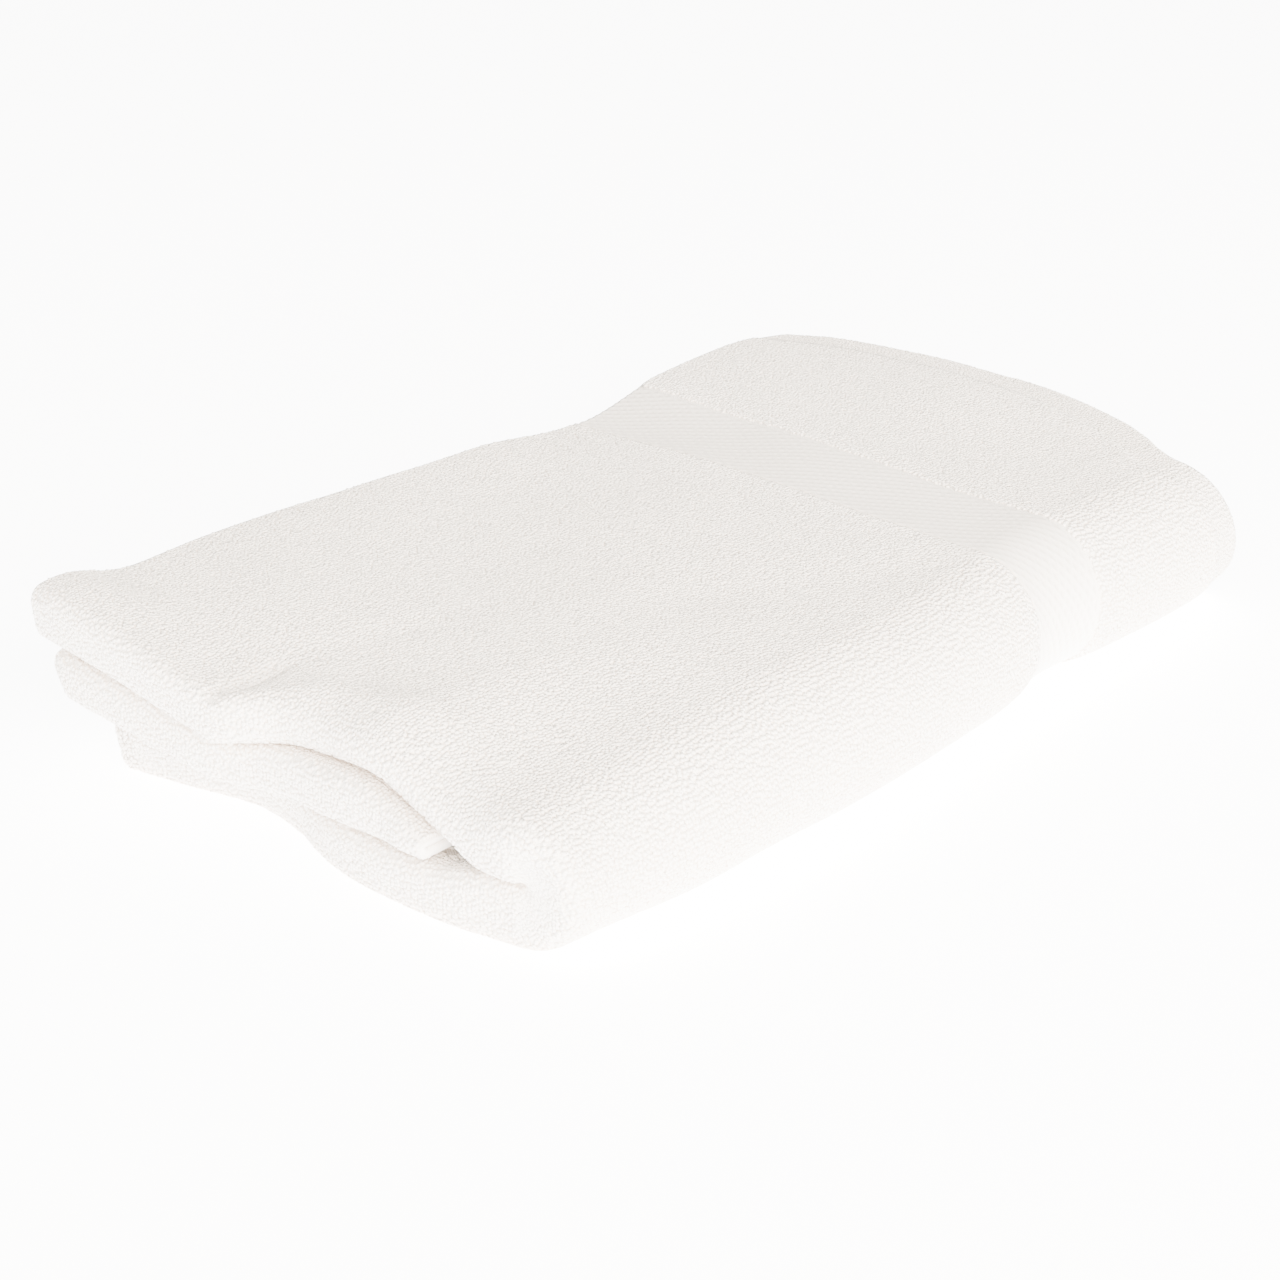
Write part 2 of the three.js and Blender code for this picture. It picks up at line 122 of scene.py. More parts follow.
ACROSS_COLUMNS = ("at", "rim", "hem", "full", "puff", "second", "roll")
ACROSS = [
    (0, -226, 212, 0.2, 0, 7, 7),
    (8, -226, 212.8, 0.5, 0, 7, 7),
    (18, -224.5, 213.4, 0.74, 0, 7, 7),
    (30, -224.5, 214, 0.91, 0, 7, 7),
    (40, -224.5, 214.2, 0.98, 0, 7, 7),
    (75, -224, 215, 1, 0, 7, 7),
    (100, -230, 216, 1, 0, 7, 7),
    (120, -232, 217, 1, 0, 12, 7),
    (140, -234, 218, 1, 0, 18, 7),
    (166, -234, 218, 1, 0, 22, 7),
    (171, -231, 218.4, 1, 0, 22, 7),
    (175, -226.5, 219, 1, 0, 20, 7),
    (179, -220.5, 219.8, 1, 0, 15, 7),
    (184, -213, 221, 1, 0, 9, 7),
    (189, -206, 221.8, 1, 0, 7, 7),
    (194, -205, 222.4, 1, 0, 7, 7),
    (201, -214, 223, 1, 0, 7, 7),
    (205, -220, 223, 1, 0, 7, 7),
    (211, -223.5, 223, 1, 0, 7, 7),
    (225, -220.5, 223.6, 1, 0, 7, 7),
    (239, -217.5, 224.4, 1, 0, 7, 7),
    (255, -212.5, 225, 1, 0, 7, 7),
    (272, -208.5, 226, 1, 0, 7, 7),
    (286, -210, 227.3, 1, 0, 7, 7),
    (300, -213, 228, 1, 0, 7, 7),
    (308, -216.5, 228, 1, 0, 7, 7),
    (329, -222, 228, 1, 0, 7, 7),
    (352, -222.5, 227.6, 1, 0, 7, 7),
    (376, -220.5, 225.7, 1, 0, 7, 7),
    (381, -219.5, 225, 1, 2.5, 7, 7),
    (387, -218, 223.5, 1, 4.4, 7, 7),
    (401, -214.5, 219, 1, 4.6, 7, 7),
    (418, -212, 215.5, 1, 4.6, 7, 7),
    (436, -211.5, 210, 1, 4.6, 7, 7),
    (455, -214, 205.5, 1, 4.6, 7, 7),
    (471, -218, 203.5, 1, 4.6, 7, 11),
    (485, -219, 208, 1, 4.4, 7, 17),
    (491, -219, 212.5, 1, 2.5, 7, 19),
    (498, -219, 216, 1, 0.5, 7, 21),
    (510, -219, 221.5, 1, 0, 7, 24),
    (540, -219.5, 229, 1, 0, 7, 23),
    (563, -219, 232, 1, 0, 7, 20),
    (583, -222, 233, 1, 0, 7, 14),
    (594, -228, 232, 1, 0, 7, 9),
    (604, -233, 232, 1, 0, 7, 7),
    (628, -235.5, 231, 1, 0, 7, 7),
    (648, -235.5, 227.5, 1, 0, 7, 7),
    (668, -235, 223.5, 1, 0, 7, 7),
    (684, -234.5, 219, 1, 0, 7, 7),
    (700, -233.5, 213, 1, 0, 7, 7),
    (716, -231.5, 204, 1, 0, 6, 8),
]
ALONG_COLUMNS = ("at", "front", "back", "fold", "lean", "sink", "brink")
ALONG = [
    (-235, -110, 139, 113.5, 0.35, 13, -40),
    (-215, -111.5, 139, 112.5, 0.35, 13, -40),
    (-190, -112.5, 134, 109.5, 0.33, 11, -40),
    (-150, -115.5, 136, 103, 0.2, 5, -45),
    (-110, -113.5, 135, 100, 0.1, 1, -60),
    (-60, -113.5, 133, 98.5, 0, 0, -75),
    (0, -109, 131, 98, 0, 0, -80),
    (43, -104, 128, 98, 0, 0, -80),
    (66, -97, 128, 98, 0, 0, -80),
    (97, -95, 132, 98, 0, 0, -80),
    (112, -98, 134, 98, 0, 0, -80),
    (180, -98, 135, 98, 0, 0.5, -80),
    (225, -91, 128, 98, 0, 2, -80),
]
# columns of a bump: x, y, reach along x, reach along y, height
SWELLS = [
    (172, 70, 66, 92, 7),
    (150, 128, 55, 45, 3.5),
    (-120, 120, 70, 36, 2),
    (52, 130, 34, 40, -2),
    (-222, 24, 20, 20, -3.4),
    (-192, -8, 26, 30, -2.5),
    (-228, 70, 20, 36, 2),
    (-222, -42, 22, 18, 3),
]
print("stack height", STACK_HEIGHT, "mm, cloth measured across", UPPER_END, "mm")

# %% [markdown]
# Each column of a table becomes a smooth curve, and each row of bumps a soft bell. The whole
# cloth is then one function: from a place across it, an x along it and an offset inside the
# three layers, to a point in space. Working on whole arrays keeps this quick in Python.

# %% Curves, bells and the fold itself
def smoothstep(value, start, end):
    t = np.clip((value - start) / (end - start), 0, 1)
    return t * t * (3 - 2 * t)


def curve_of(table, columns, name):
    at = np.array([row[0] for row in table], float)
    value = np.array([row[columns.index(name)] for row in table], float)
    before = np.maximum(np.arange(len(at)) - 1, 0)
    after = np.minimum(np.arange(len(at)) + 1, len(at) - 1)
    slope = (value[after] - value[before]) / (at[after] - at[before])

    def curve(places):
        x = np.clip(places, at[0], at[-1])
        i = np.clip(np.searchsorted(at, x, "right") - 1, 0, len(at) - 2)
        span = at[i + 1] - at[i]
        t = (x - at[i]) / span
        bend = t * (1 - t)
        level = value[i] + (value[i + 1] - value[i]) * t * t * (3 - 2 * t)
        return level + span * bend * ((1 - t) * slope[i] - t * slope[i + 1])

    return curve


across = {name: curve_of(ACROSS, ACROSS_COLUMNS, name) for name in ACROSS_COLUMNS[1:]}
along = {name: curve_of(ALONG, ALONG_COLUMNS, name) for name in ALONG_COLUMNS[1:]}


def bumps(table, x, y):
    total = np.zeros(np.broadcast(x, y).shape)
    for place_x, place_y, reach_x, reach_y, height in table:
        r = np.hypot((x - place_x) / reach_x, (y - place_y) / reach_y)
        total = total + height * (1 - smoothstep(r, 0, 2))
    return total


def upper_level(x, y):
    sink = along["sink"](x) * smoothstep(-y, -along["brink"](x), -SINK_END)
    return UPPER_LEVEL - sink


print("curves across", list(across), "and along", list(along))

# %% [markdown]
# Creases are given as soft troughs and ridges between two points of the towel's plan. The
# deep pinch in the left rim sends a shallow trough over the top, and smaller ones follow the
# border and the front. Patches are soft bells that the solid doesn't have: they deepen the
# pinch and raise the crest at the far left corner. A slow unevenness goes over everything,
# because no stack of cloth is flat.

# %% Creases and unevenness of the stack
# columns of a crease: from x, from y, to x, to y, width, height
CREASES = [
    (-240, 29, -206, 25, 5, -3.0),
    (-206, 24, -150, 6, 9, -0.8),
    (-150, 4, -60, -6, 14, -0.5),
    (-207, -4, -194, -62, 8, 0.9),
    (-75, -40, 30, -98, 16, -1.1),
    (50, 120, 56, -60, 8, 0.5),
    (112, 118, 116, -50, 10, 0.6),
]
# columns as in the table of swells
PATCHES = [
    (-221, 120, 14, 25, 4.5),
    (-196, 92, 15, 34, -1.8),
    (-232, 42, 25, 26, -4.5),
    (-213, 48, 17, 26, -2.6),
    (-80, -12, 27, 26, 1.6),
    (-12, 28, 30, 26, 1.6),
    (-160, 70, 30, 26, 1.2),
    (-60, 90, 34, 22, -1.0),
    (188, 4, 38, 36, 2.2),
]
# columns of a wave: turns by x, turns by y, start, height
WAVES = [
    (0.031, 0.012, 0.4, 0.55),
    (-0.014, 0.043, 1.9, 0.50),
    (0.058, 0.037, 3.1, 0.32),
    (0.083, -0.049, 0.9, 0.22),
    (-0.11, 0.094, 2.2, 0.16),
]


def creases(x, y):
    total = np.zeros(np.broadcast(x, y).shape)
    for x0, y0, x1, y1, width, height in CREASES:
        length = math.hypot(x1 - x0, y1 - y0)
        dir_x = (x1 - x0) / length
        dir_y = (y1 - y0) / length
        run = (x - x0) * dir_x + (y - y0) * dir_y
        aside = (x - x0) * dir_y - (y - y0) * dir_x
        beyond = run - np.clip(run, 0, length)
        total = total + height * np.exp(-(aside**2 + beyond**2) / width**2)
    return total


def unevenness(x, y):
    total = np.zeros(np.broadcast(x, y).shape)
    for by_x, by_y, start, height in WAVES:
        total = total + height * np.sin(by_x * x + by_y * y + start)
    return total


def swollen(x, y, z):
    soft = bumps(SWELLS + PATCHES, x, y) + creases(x, y) + unevenness(x, y)
    return PILE_HALF + (z - PILE_HALF) * (1 + soft / STACK_HEIGHT)


def leaning(x, y, z):
    """The back fold leans back with height, and less and less towards the front."""
    pivot = UNDER_LEVEL + THIRD_PITCH / 2
    return y + along["lean"](x) * smoothstep(y, LEAN_START, LEAN_FULL) * (z - pivot)


def fold_across(at, x, offset):
    fullness = across["full"](at)
    full = offset * fullness
    fold = along["fold"](x)
    front = along["front"](x)
    tucked_y = TUCKED_EDGE + (fold - TUCKED_EDGE) * at / TUCKED_END
    tucked_z = TUCKED_LEVEL - (1 - fullness) * PACKET_HALF * TUCKED_DROOP + full
    back_angle = math.pi * (at - TUCKED_END) / (UNDER_START - TUCKED_END)
    back_radius = THIRD_PITCH / 2 + full
    back_y = fold + back_radius * np.sin(back_angle)
    back_z = UNDER_LEVEL + THIRD_PITCH / 2 + back_radius * np.cos(back_angle)
    under_y = fold + (front - fold) * (at - UNDER_START) / (UNDER_END - UNDER_START)
    under_z = UNDER_LEVEL - full
    front_angle = math.pi * (at - UNDER_END) / (UPPER_START - UNDER_END)
    front_height = upper_level(x, front) - UNDER_LEVEL
    front_radius = front_height / 2 + full
    nose_y = front - front_radius * np.sin(front_angle)
    nose_z = UNDER_LEVEL + front_height / 2 - front_radius * np.cos(front_angle)
    edge = along["back"](x) - SELVEDGE_STEP * (1 - offset / LAYER_PITCH)
    upper_y = front + (edge - front) * (at - UPPER_START) / (UPPER_END - UPPER_START)
    upper_z = upper_level(x, upper_y) + full
    where = [at <= TUCKED_END, at < UNDER_START, at <= UNDER_END, at < UPPER_START]
    y = np.select(where, [tucked_y, back_y, under_y, nose_y], upper_y)
    z = np.select(where, [tucked_z, back_z, under_z, nose_z], upper_z)
    y = np.where(at < UNDER_END, leaning(x, y, z), y)
    return np.stack([x, y, swollen(x, y, z)], axis=-1)


print("creases", len(CREASES), "waves", len(WAVES))

# %% [markdown]
# The section along the towel is walked from the hem on top, round the deep turn at the rim,
# back to the tight turn inside and on to the inner hem. Its stations are 5 to 12 millimetres
# apart, closer in the turns. The ground cloth is thinner than the towel, because loops will
# stand on it, and the border and the hems are thinner still.

# %% Stations along the cloth
LAYER_STEPS = {1: 5.0, 2: 10.0, 3: 12.0}
GROUND_HALF = 2.45
BORDER_HALF = 1.9
HEM_HALF = 1.7
EDGE_HALF = 1.4
STEP_HALF_WIDTH = 2
RIM_TURN_STEPS = 18
INNER_TURN_STEPS = 12

# columns of a station: measured from, how far, half thickness
STRAIGHTS = [
    ("hem", 0, EDGE_HALF),
    ("hem", -3, HEM_HALF),
    ("hem", -HEM_WIDTH, HEM_HALF),
    ("hem", -HEM_WIDTH - 2 * STEP_HALF_WIDTH, GROUND_HALF),
    ("middle", BORDER[1] + STEP_HALF_WIDTH, GROUND_HALF),
    ("middle", BORDER[1] - STEP_HALF_WIDTH, BORDER_HALF),
    ("middle", BORDER[0] + STEP_HALF_WIDTH, BORDER_HALF),
    ("middle", BORDER[0] - STEP_HALF_WIDTH, GROUND_HALF),
    ("middle", -165, GROUND_HALF),
    ("roll", 16, GROUND_HALF),
    ("roll", 0, GROUND_HALF),
]
BACKS = [
    ("second", 0, GROUND_HALF),
    ("second", RIM_CLOSING, GROUND_HALF),
    ("middle", -140, GROUND_HALF),
    ("middle", 135, GROUND_HALF),
    ("inner", 0, GROUND_HALF),
]
INNERS = [
    ("inner", 0, GROUND_HALF),
    ("middle", 135, GROUND_HALF),
    ("middle", -122, GROUND_HALF),
    ("rim", INNER_HEM_FROM_RIM + HEM_WIDTH + 2 * STEP_HALF_WIDTH, GROUND_HALF),
    ("rim", INNER_HEM_FROM_RIM + HEM_WIDTH, HEM_HALF),
    ("rim", INNER_HEM_FROM_RIM, EDGE_HALF),
]
TYPICAL = {"hem": 225, "inner": 200, "rim": -225, "roll": -212, "second": -218, "middle": 0}


def layer_offset(layer, x, at):
    if layer == 1:
        return LAYER_PITCH + 0 * x
    if layer == 3:
        return -LAYER_PITCH + 0 * x
    start = across["rim"](at) + across["second"](at)
    closed = 1 - smoothstep(x, start, start + RIM_CLOSING)
    return -(LAYER_PITCH + across["puff"](at)) * closed


def walk(layer, stations, at, origin):
    """The points of one layer, no further apart than its own step."""
    xs, halves = [], []
    for (from_a, x_a, half_a), (from_b, x_b, half_b) in zip(stations, stations[1:]):
        gap = abs(TYPICAL[from_a] + x_a - TYPICAL[from_b] - x_b)
        pieces = max(1, math.ceil(gap / LAYER_STEPS[layer]))
        for k in range(pieces):
            t = k / pieces
            xs.append((origin[from_a] + x_a) * (1 - t) + (origin[from_b] + x_b) * t)
            halves.append(half_a * (1 - t) + half_b * t)
    xs.append(origin[stations[-1][0]] + stations[-1][1])
    halves.append(stations[-1][2])
    return [(x, layer_offset(layer, x, at), half) for x, half in zip(xs, halves)]


def rounded(value, power):
    """A sine or cosine of a turn, which a power below one makes squarer than a half circle."""
    return math.copysign(1, value) * abs(value) ** power


def turn(start, end, tip, depths, powers, steps):
    """The points between two layers, round a tip, with a depth and a power for each half."""
    points = []
    tip_x, tip_offset = tip
    for k in range(1, steps):
        angle = math.pi * k / steps
        half = 0 if 2 * k < steps else 1
        reach = tip_offset - end[1] if half else start[1] - tip_offset
        x = tip_x + depths[half] * (1 - rounded(math.sin(angle), powers[half]))
        points.append((x, tip_offset + reach * rounded(math.cos(angle), powers[half]), start[2]))
    return points


def section(at):
    hem, rim, second, roll = (across[name](at) for name in ("hem", "rim", "second", "roll"))
    inner = INNER_TURN_X + INNER_TURN_FOLLOWS_HEM * (hem - INNER_TURN_X)
    origin = {"hem": hem, "inner": inner, "rim": rim, "roll": rim + roll,
              "second": rim + second, "middle": 0 * at}
    first = walk(1, STRAIGHTS, at, origin)
    back = walk(2, BACKS, at, origin)
    third = walk(3, INNERS, at, origin)
    rolled = np.clip((roll - PLAIN_ROLL) / FULL_ROLL, 0, 1)
    power = RIM_SQUARENESS + (ROLLED_SQUARENESS - RIM_SQUARENESS) * rolled
    tip = (rim, (first[-1][1] + back[0][1]) / 2 - ROLLED_DROOP * rolled)
    deep = np.clip((second - PLAIN_ROLL) / DEEP_SECOND, 0, 1)
    powers = (power, RIM_SQUARENESS + (SECOND_SQUARENESS - RIM_SQUARENESS) * deep)
    rim_turn = turn(first[-1], back[0], tip, (roll, second), powers, RIM_TURN_STEPS)
    depth = (back[-1][1] - third[0][1]) / 2
    tip = (inner + depth, (back[-1][1] + third[0][1]) / 2)
    inner_turn = turn(back[-1], third[0], tip, (-depth, -depth), (1, 1), INNER_TURN_STEPS)
    points = first + rim_turn + back + inner_turn + third
    x = np.stack([p[0] + 0 * at for p in points], axis=1)
    offset = np.stack([p[1] + 0 * at for p in points], axis=1)
    half = np.array([p[2] for p in points])
    layer = np.array([1] * (len(first) + len(rim_turn)) + [2] * len(back) + [3] * (
        len(inner_turn) + len(third)))
    return x, offset, half, layer


# columns of a part: start, end, widest step
PARTS_ACROSS = [
    (0, TUCKED_END, 10.0),
    (TUCKED_END, UNDER_START, 2.8),
    (UNDER_START, UNDER_END, 10.0),
    (UNDER_END, UPPER_START, 3.5),
    (UPPER_START, UPPER_END, 4.5),
]


def places_across():
    runs = []
    for start, end, step in PARTS_ACROSS:
        runs.append(np.linspace(start, end, math.ceil((end - start) / step), endpoint=False))
    return np.append(np.concatenate(runs), UPPER_END)


places = places_across()
section_x, section_offset, half_thick, layer_of = section(places)
middle = fold_across(places[:, None] + 0 * section_x, section_x, section_offset) * MM
print("ground cloth grid", middle.shape[0], "by", middle.shape[1])

# %% [markdown]
# The middle sheet gets normals, and the shift that brings it over the solid. Then a helper
# turns arrays into a mesh, and the ground cloth is closed round its four edges, so that it is
# one real sheet with two faces and not a bare surface.

# %% The ground cloth
SHORTEST = 1e-12


def unit(v):
    return v / np.maximum(np.linalg.norm(v, axis=-1, keepdims=True), SHORTEST)


def normals_of(grid):
    up = np.gradient(grid, axis=0)
    right = np.gradient(grid, axis=1)
    return unit(np.cross(up, right))


cad_corner = np.array(cad_low)
own_corner = middle.reshape(-1, 3).min(axis=0) - PILE_HALF * MM
shift = cad_corner - own_corner
shift[2] = 0
middle += shift
normal = normals_of(middle)


def new_piece(name, points, quads, material, smooth=True):
    mesh = bpy.data.meshes.new(name)
    sides = quads.shape[1]
    mesh.vertices.add(len(points))
    mesh.vertices.foreach_set("co", points.astype(np.float32).ravel())
    mesh.loops.add(quads.size)
    mesh.loops.foreach_set("vertex_index", quads.astype(np.int32).ravel())
    mesh.polygons.add(len(quads))
    mesh.polygons.foreach_set("loop_start", np.arange(len(quads), dtype=np.int32) * sides)
    mesh.polygons.foreach_set("use_smooth", np.full(len(quads), smooth))
    mesh.update(calc_edges=True)
    mesh.validate()
    mesh.materials.append(material)
    piece = bpy.data.objects.new(name, mesh)
    bpy.context.scene.collection.objects.link(piece)
    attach(piece, "root")
    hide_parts("bath_towel")
    return piece


def closed_sheet(outer, inner):
    """Points and quads of a sheet with an outer and an inner grid, joined round the edge."""
    rows, columns = outer.shape[:2]
    number = np.arange(rows * columns).reshape(rows, columns)
    back = number + rows * columns

    def quads_between(a, b, c, d):
        return np.stack([a.ravel(), b.ravel(), c.ravel(), d.ravel()], axis=1)

    faces = [
        quads_between(number[:-1, :-1], number[1:, :-1], number[1:, 1:], number[:-1, 1:]),
        quads_between(back[:-1, :-1], back[:-1, 1:], back[1:, 1:], back[1:, :-1]),
        quads_between(number[:-1, 0], back[:-1, 0], back[1:, 0], number[1:, 0]),
        quads_between(number[:-1, -1], number[1:, -1], back[1:, -1], back[:-1, -1]),
        quads_between(number[0, :-1], number[0, 1:], back[0, 1:], back[0, :-1]),
        quads_between(number[-1, :-1], back[-1, :-1], back[-1, 1:], number[-1, 1:]),
    ]
    points = np.concatenate([outer.reshape(-1, 3), inner.reshape(-1, 3)])
    return points, np.concatenate(faces)


thinning = np.maximum(across["full"](places), THINNEST)[:, None, None]
half_grid = half_thick[None, :, None] * thinning * MM + 0 * middle[..., :1]
ground_points, ground_quads = closed_sheet(middle + normal * half_grid, middle - normal * half_grid)
print("ground cloth quads", len(ground_quads))

# %% [markdown]
# All of it is white cotton, but the eye tells looped, woven and sewn places apart. What they
# share is a slight mottling, made once as a node group and placed in each material with its
# own values. The same group paints shade into the colour: where ambient occlusion finds a
# narrow place, it mixes in a warm peach, as painted warm shade for the light that cotton gives
# back warmer in the hollows. Two more groups hold the threads of the flat weave and the
# diamonds of the border, whose pits the materials paint darker as painted shade.

# %% Shared effects: mottling, threads and diamonds
def new_group(name, inputs, outputs):
    group = bpy.data.node_groups.new(name, "ShaderNodeTree")
    for title, kind, value in inputs:
        socket = group.interface.new_socket(title, in_out="INPUT", socket_type=kind)
        socket.default_value = value
    for title, kind in outputs:
        group.interface.new_socket(title, in_out="OUTPUT", socket_type=kind)
    enter = group.nodes.new("NodeGroupInput")
    leave = group.nodes.new("NodeGroupOutput")
    return group, enter, leave


def math_node(tree, operation, a, b):
    node = tree.nodes.new("ShaderNodeMath")
    node.operation = operation
    for socket, value in zip(node.inputs, (a, b)):
        if isinstance(value, (int, float)):
            socket.default_value = value
        else:
            tree.links.new(value, socket)
    return node.outputs[0]


# painted shade: the peach colour mixed into hollows, and how far and how strongly the occlusion
# looks for them
PAINTED_HOLLOW_SHADE = (0.93, 0.8, 0.7)
PAINTED_SHADE_REACH = 0.012
SHADE_MASK_GAIN = 1.6
SHADE_MASK_SAMPLES = 4
NOISE_DETAIL = 3.0


def mottle_and_painted_shade():
    """Two shades of white mixed by a broad and a fine noise, and a painted warm shade in hollows."""
    group, enter, leave = new_group(
        "mottled cotton",
        [("Light", "NodeSocketColor", (0.9, 0.9, 0.9, 1)),
         ("Dark", "NodeSocketColor", (0.8, 0.8, 0.8, 1)),
         ("Broad scale", "NodeSocketFloat", 30.0),
         ("Fine scale", "NodeSocketFloat", 600.0),
         ("Painted hollow shade", "NodeSocketColor", (*PAINTED_HOLLOW_SHADE, 1)),
         ("Hollow reach", "NodeSocketFloat", PAINTED_SHADE_REACH)],
        [("Color", "NodeSocketColor"), ("Height", "NodeSocketFloat")],
    )
    where = group.nodes.new("ShaderNodeTexCoord").outputs["Object"]
    amounts = []
    for title in ("Broad scale", "Fine scale"):
        noise = group.nodes.new("ShaderNodeTexNoise")
        noise.inputs["Detail"].default_value = NOISE_DETAIL
        group.links.new(where, noise.inputs["Vector"])
        group.links.new(enter.outputs[title], noise.inputs["Scale"])
        amounts.append(noise.outputs["Fac"])
    blend = math_node(group, "MULTIPLY", math_node(group, "ADD", *amounts), 0.5)
    mix = group.nodes.new("ShaderNodeMix")
    mix.data_type = "RGBA"
    group.links.new(blend, mix.inputs["Factor"])
    group.links.new(enter.outputs["Dark"], mix.inputs["A"])
    group.links.new(enter.outputs["Light"], mix.inputs["B"])
    # painted shade: ambient occlusion mixes the warm peach into narrow places
    shade_probe = group.nodes.new("ShaderNodeAmbientOcclusion")
    shade_probe.samples = SHADE_MASK_SAMPLES
    group.links.new(enter.outputs["Hollow reach"], shade_probe.inputs["Distance"])
    unshaded = math_node(group, "MULTIPLY", shade_probe.outputs["AO"], SHADE_MASK_GAIN)
    unshaded.node.use_clamp = True
    shade_painted = group.nodes.new("ShaderNodeMix")
    shade_painted.data_type = "RGBA"
    group.links.new(unshaded, shade_painted.inputs["Factor"])
    group.links.new(enter.outputs["Painted hollow shade"], shade_painted.inputs["A"])
    group.links.new(mix.outputs["Result"], shade_painted.inputs["B"])
    group.links.new(shade_painted.outputs["Result"], leave.inputs["Color"])
    group.links.new(amounts[1], leave.inputs["Height"])
    return group


def woven_threads():
    """Fine threads that cross, as a height, along the cloth's own two directions."""
    group, enter, leave = new_group(
        "woven threads",
        [("Threads per metre", "NodeSocketFloat", 1400.0)],
        [("Height", "NodeSocketFloat")],
    )
    cloth = group.nodes.new("ShaderNodeUVMap")
    cloth.uv_map = "cloth"
    split = group.nodes.new("ShaderNodeSeparateXYZ")
    group.links.new(cloth.outputs["UV"], split.inputs["Vector"])
    turns = math_node(group, "MULTIPLY", enter.outputs["Threads per metre"], 2 * math.pi)
    waves = []
    for axis in ("X", "Y"):
        angle = math_node(group, "MULTIPLY", split.outputs[axis], turns)
        waves.append(math_node(group, "SINE", angle, 0.0))
    both = math_node(group, "MULTIPLY", waves[0], waves[1])
    group.links.new(both, leave.inputs["Height"])
    return group


def woven_lattice():
    """How deep in a diamond of the border a place lies, from its ribs to its middle."""
    group, enter, leave = new_group(
        "woven lattice",
        [("Diamonds along", "NodeSocketFloat", 200.0),
         ("Diamonds across", "NodeSocketFloat", 140.0)],
        [("Depth", "NodeSocketFloat")],
    )
    cloth = group.nodes.new("ShaderNodeUVMap")
    cloth.uv_map = "cloth"
    split = group.nodes.new("ShaderNodeSeparateXYZ")
    group.links.new(cloth.outputs["UV"], split.inputs["Vector"])
    along_x = math_node(group, "MULTIPLY", split.outputs["X"], enter.outputs["Diamonds along"])
    across_y = math_node(group, "MULTIPLY", split.outputs["Y"], enter.outputs["Diamonds across"])
    ribs = []
    for operation in ("ADD", "SUBTRACT"):
        run = math_node(group, operation, across_y, along_x)
        inside = math_node(group, "FRACT", run, 0.0)
        aside = math_node(group, "SUBTRACT", inside, 0.5)
        ribs.append(math_node(group, "ABSOLUTE", aside, 0.0))
    nearest = math_node(group, "MAXIMUM", *ribs)
    depth = math_node(group, "SUBTRACT", 1.0, math_node(group, "MULTIPLY", nearest, 2.0))
    group.links.new(depth, leave.inputs["Depth"])
    return group


MOTTLE_AND_PAINTED_SHADE = mottle_and_painted_shade()
THREADS = woven_threads()
LATTICE = woven_lattice()
print("node groups", MOTTLE_AND_PAINTED_SHADE.name, THREADS.name, LATTICE.name)

# %% [markdown]
# Each material is made by one function that sets the groups' values. The colour is a warm
# white, never a pure one: real cotton gives back about nine tenths of the light, and less of
# the blue. Roughness is high and the sheen is slight, as fits short cotton fibres.

# %% Materials
COTTON_ROUGHNESS = 0.95
COTTON_SPECULAR = 0.2
SHEEN_ROUGHNESS = 0.6


def cotton(name, light, dark, broad, fine, bump, depth, sheen, threads=None, diamonds=None):
    material = bpy.data.materials.new(name)
    material.use_nodes = True
    tree = material.node_tree
    shader = tree.nodes["Principled BSDF"]
    shader.inputs["Roughness"].default_value = COTTON_ROUGHNESS
    shader.inputs["Specular IOR Level"].default_value = COTTON_SPECULAR
    shader.inputs["Sheen Weight"].default_value = sheen
    shader.inputs["Sheen Roughness"].default_value = SHEEN_ROUGHNESS
    # the group's colour carries the mottling and the painted warm shade of hollows
    mottle_and_shade = tree.nodes.new("ShaderNodeGroup")
    mottle_and_shade.node_tree = MOTTLE_AND_PAINTED_SHADE
    mottle_and_shade.inputs["Light"].default_value = (*light, 1)
    mottle_and_shade.inputs["Dark"].default_value = (*dark, 1)
    mottle_and_shade.inputs["Broad scale"].default_value = broad
    mottle_and_shade.inputs["Fine scale"].default_value = fine
    color = mottle_and_shade.outputs["Color"]
    if diamonds:
        lattice = tree.nodes.new("ShaderNodeGroup")
        lattice.node_tree = LATTICE
        lattice.inputs["Diamonds along"].default_value = diamonds[0]
        lattice.inputs["Diamonds across"].default_value = diamonds[1]
        # painted shade: the pits of the border's diamonds are mixed towards a darker colour
        pit_shade_painted = tree.nodes.new("ShaderNodeMix")
        pit_shade_painted.data_type = "RGBA"
        pit_shade_painted.inputs["B"].default_value = (*PAINTED_PIT_SHADE, 1)
        tree.links.new(lattice.outputs["Depth"], pit_shade_painted.inputs["Factor"])
        tree.links.new(color, pit_shade_painted.inputs["A"])
        color = pit_shade_painted.outputs["Result"]
    tree.links.new(color, shader.inputs["Base Color"])
    height = mottle_and_shade.outputs["Height"]
    if threads:
        woven = tree.nodes.new("ShaderNodeGroup")
        woven.node_tree = THREADS
        woven.inputs["Threads per metre"].default_value = threads
        height = math_node(tree, "ADD", height, woven.outputs["Height"])
    raised = tree.nodes.new("ShaderNodeBump")
    raised.inputs["Strength"].default_value = bump
    raised.inputs["Distance"].default_value = depth
    tree.links.new(height, raised.inputs["Height"])
    tree.links.new(raised.outputs["Normal"], shader.inputs["Normal"])
    return material


WHITE = (0.94, 0.905, 0.865)
SHADE = (0.89, 0.85, 0.805)
